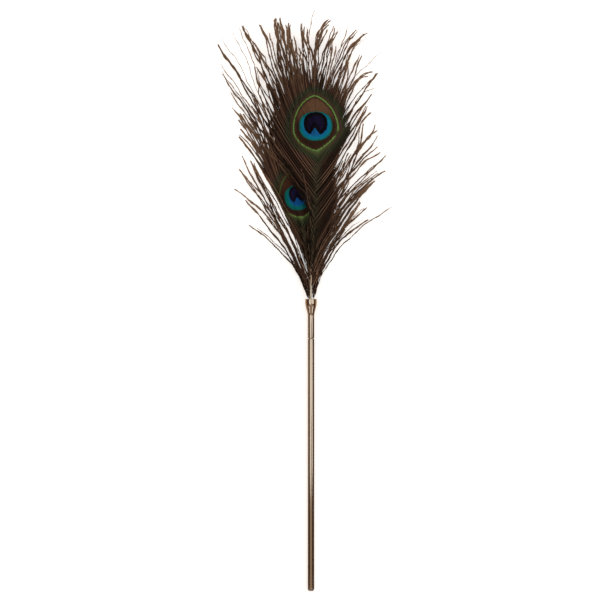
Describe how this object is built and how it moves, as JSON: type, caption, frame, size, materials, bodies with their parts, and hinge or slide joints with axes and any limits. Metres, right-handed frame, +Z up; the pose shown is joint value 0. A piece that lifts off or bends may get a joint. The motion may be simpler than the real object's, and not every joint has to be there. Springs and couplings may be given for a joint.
{
  "type": "peacock feather wand",
  "caption": "Peacock feather wand lying flat: eyed tail feathers, one over the other, held in the flared ferrule of a slender polished metal rod.",
  "frame": {"origin": "under the middle of the whole wand, on the surface that it lies on", "axes": "+Y along the wand from the rod's end to the feather tips, +Z up from the surface, +X to the right side of the feathers' faces"},
  "size_m": [0.1382, 0.4564, 0.0154],
  "materials": {
    "bronze_metal": "polished",
    "glue": "satin",
    "feather": "barbs with a silky sheen"
  },
  "bodies": {
    "root": {"handle_rod": "bronze_metal", "ferrule": "bronze_metal", "glue_plug": "glue", "feather_back": "feather", "feather_front": "feather"}
  },
  "joints": []
}
